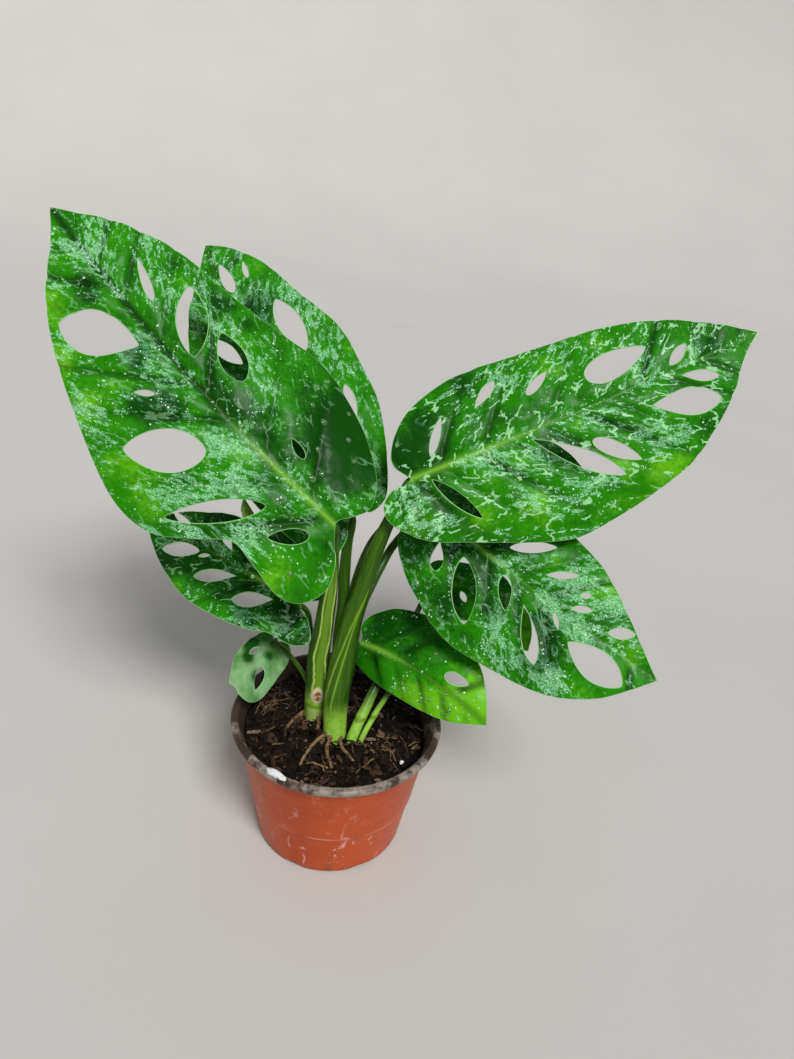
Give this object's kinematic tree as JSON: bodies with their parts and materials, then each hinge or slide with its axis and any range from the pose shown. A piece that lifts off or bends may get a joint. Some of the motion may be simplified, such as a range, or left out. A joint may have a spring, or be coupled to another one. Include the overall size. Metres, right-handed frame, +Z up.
{
  "type": "potted swiss cheese vine",
  "caption": "Potted Swiss cheese vine: broad glossy pointed leaves with oval holes on green sheathed stalks, rooted in dark soil in a round terracotta-coloured plastic nursery pot.",
  "frame": {"origin": "centre of the pot's flat underside", "axes": "+Z up, -Y towards the front that the picture shows, +X to the right"},
  "size_m": [0.3641, 0.1738, 0.3242],
  "materials": {
    "pot": "satin moulded plastic",
    "soil": "damp bark and coir",
    "leaf": "waxy and wet",
    "pale_leaf": "waxy",
    "stem": "smooth"
  },
  "bodies": {
    "root": {"pot": "pot", "soil": "soil", "stem_left": "stem", "stem_centre": "stem", "shoot_thick": "stem", "shoot_thin": "stem", "leaf_left_upper": "leaf", "leaf_left_back": "leaf", "leaf_right_upper": "leaf", "leaf_right_middle": "leaf", "leaf_left_lower": "leaf", "leaf_right_lower": "leaf", "leaf_left_small": "pale_leaf", "leaf_back_upper": "leaf", "leaf_back_lower": "leaf", "leaf_back_small": "leaf", "leaf_rolled": "leaf"}
  },
  "joints": []
}
